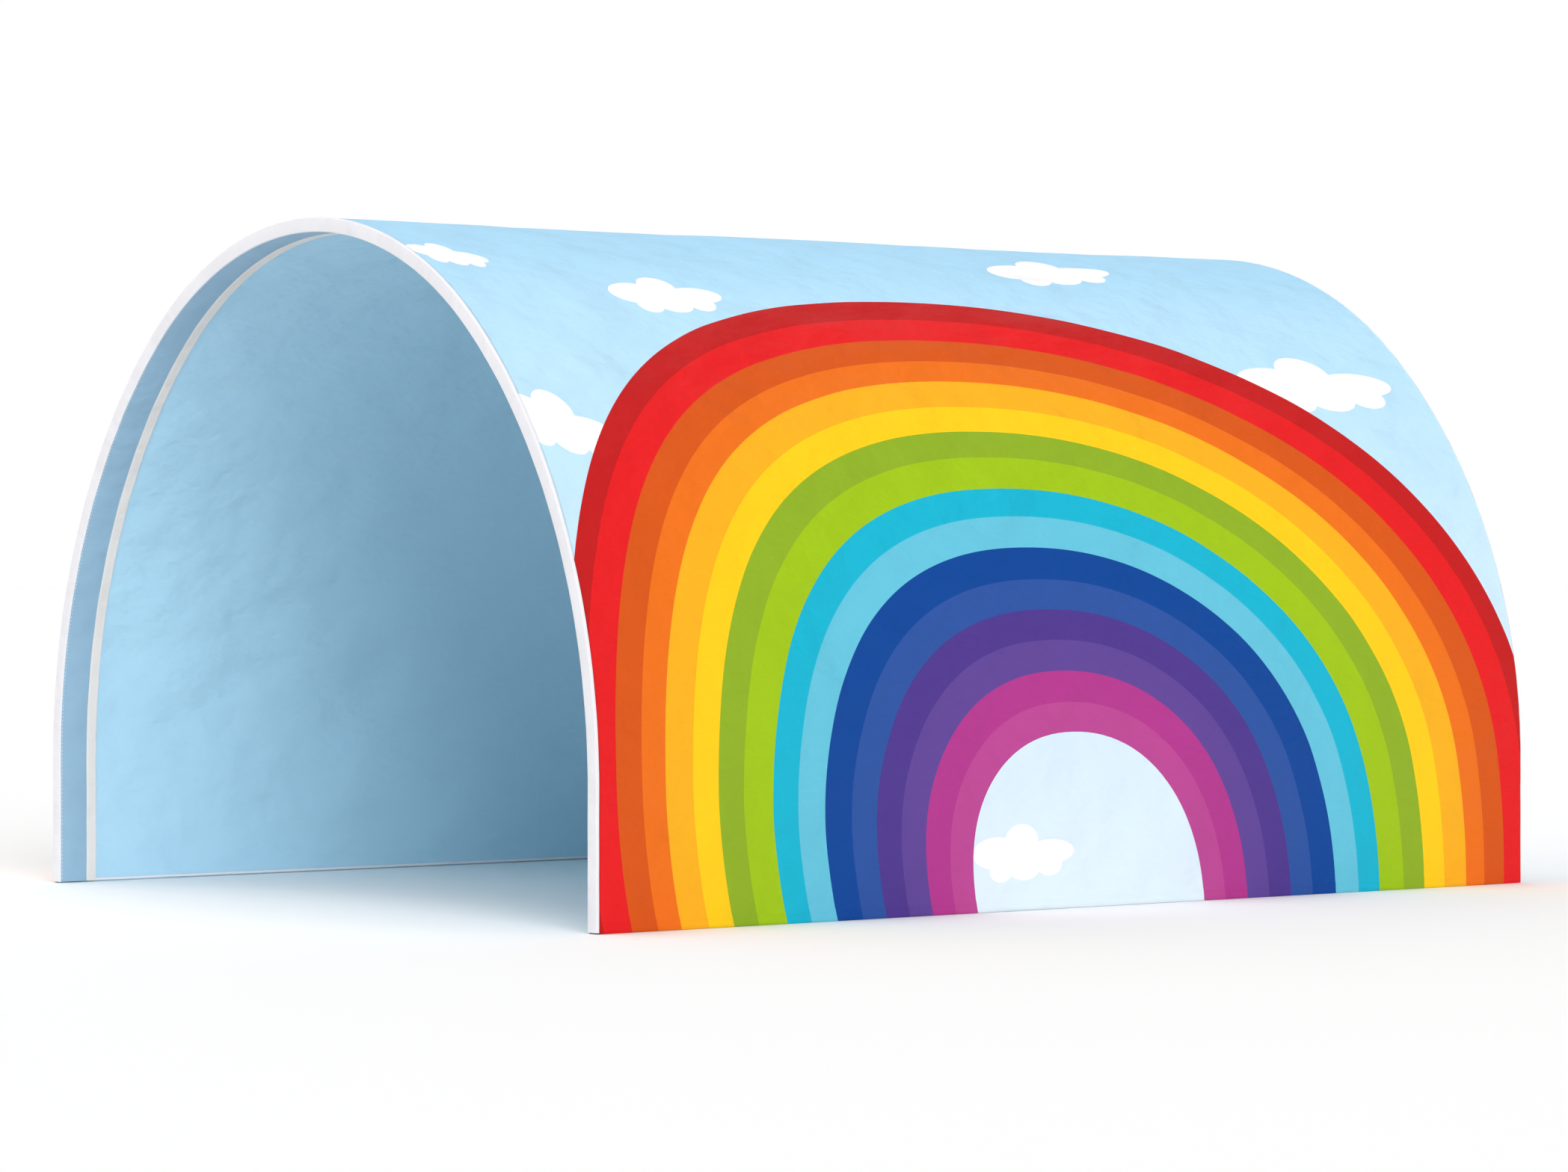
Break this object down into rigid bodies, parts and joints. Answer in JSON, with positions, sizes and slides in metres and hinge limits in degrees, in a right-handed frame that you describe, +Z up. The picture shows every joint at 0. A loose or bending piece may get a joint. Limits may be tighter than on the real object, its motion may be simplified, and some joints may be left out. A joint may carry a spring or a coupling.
{
  "type": "agility tunnel",
  "caption": "Open-bottomed arch tunnel for dog agility: a printed double-wall textile on hoops, which collapses lengthwise on telescopic bottom rails.",
  "frame": {"origin": "middle of the footprint, on the ground", "axes": "+Y along the tunnel from the front opening to the rear one, +X to the right seen from the front, +Z up"},
  "size_m": [1, 1.25, 0.7],
  "materials": {
    "printed_cover": "printed woven polyester, satin",
    "lining_cloth": "plain woven polyester, matte",
    "facing_cloth": "heavy woven polyester, matte",
    "white_tape": "woven binding tape",
    "fibreglass": "pultruded glass-fibre rod, satin",
    "aluminium_tube": "drawn tube, satin",
    "moulded_nylon": "fine spark-eroded moulding",
    "foot_rubber": "matte"
  },
  "bodies": {
    "front_frame": {"outer_cover": "printed_cover", "lining": "lining_cloth", "left_hem_gusset": "white_tape", "right_hem_gusset": "white_tape", "left_hem_tape": "white_tape", "right_hem_tape": "white_tape", "front_binding": "white_tape", "front_facing": "facing_cloth", "front_inner_tape": "white_tape", "front_hoop_left_leg": "fibreglass", "front_hoop_crown": "fibreglass", "front_hoop_right_leg": "fibreglass", "front_hoop_ferrules": "aluminium_tube", "front_left_corner": "moulded_nylon", "front_right_corner": "moulded_nylon", "front_left_foot": "foot_rubber", "front_right_foot": "foot_rubber", "front_rod_pins": "aluminium_tube", "left_rail_tube": "aluminium_tube", "right_rail_tube": "aluminium_tube"},
    "left_lock": {"left_lock_collar": "moulded_nylon"},
    "right_lock": {"right_lock_collar": "moulded_nylon"},
    "middle_frame": {"middle_hoop_left_leg": "fibreglass", "middle_hoop_crown": "fibreglass", "middle_hoop_right_leg": "fibreglass", "middle_hoop_ferrules": "aluminium_tube", "middle_left_slider": "moulded_nylon", "middle_right_slider": "moulded_nylon", "middle_rod_pins": "aluminium_tube", "middle_hoop_sleeve": "lining_cloth"},
    "rear_frame": {"rear_binding": "white_tape", "rear_facing": "facing_cloth", "rear_inner_tape": "white_tape", "rear_hoop_left_leg": "fibreglass", "rear_hoop_crown": "fibreglass", "rear_hoop_right_leg": "fibreglass", "rear_hoop_ferrules": "aluminium_tube", "rear_left_corner": "moulded_nylon", "rear_right_corner": "moulded_nylon", "rear_left_foot": "foot_rubber", "rear_right_foot": "foot_rubber", "rear_rod_pins": "aluminium_tube", "left_rail_rod": "fibreglass", "right_rail_rod": "fibreglass"}
  },
  "joints": [
    {"name": "rear_slide", "type": "slide", "parent": "front_frame", "child": "rear_frame", "axis": [0, -1, 0], "range_m": [0, 0.45], "deforming": ["outer_cover", "lining", "left_hem_gusset", "right_hem_gusset", "left_hem_tape", "right_hem_tape"]},
    {"name": "middle_slide", "type": "slide", "parent": "front_frame", "child": "middle_frame", "axis": [0, -1, 0], "range_m": [0, 0.225]},
    {"name": "left_lock_turn", "type": "hinge", "parent": "front_frame", "child": "left_lock", "pos_m": [-0.4935, 0.098, 0.02], "axis": [0, -1, 0], "range_deg": [0, 90]},
    {"name": "right_lock_turn", "type": "hinge", "parent": "front_frame", "child": "right_lock", "pos_m": [0.4935, 0.098, 0.02], "axis": [0, 1, 0], "range_deg": [0, 90]}
  ],
  "couplings": [
    {"joint": "middle_slide", "follows": "rear_slide", "ratio": 0.5}
  ]
}
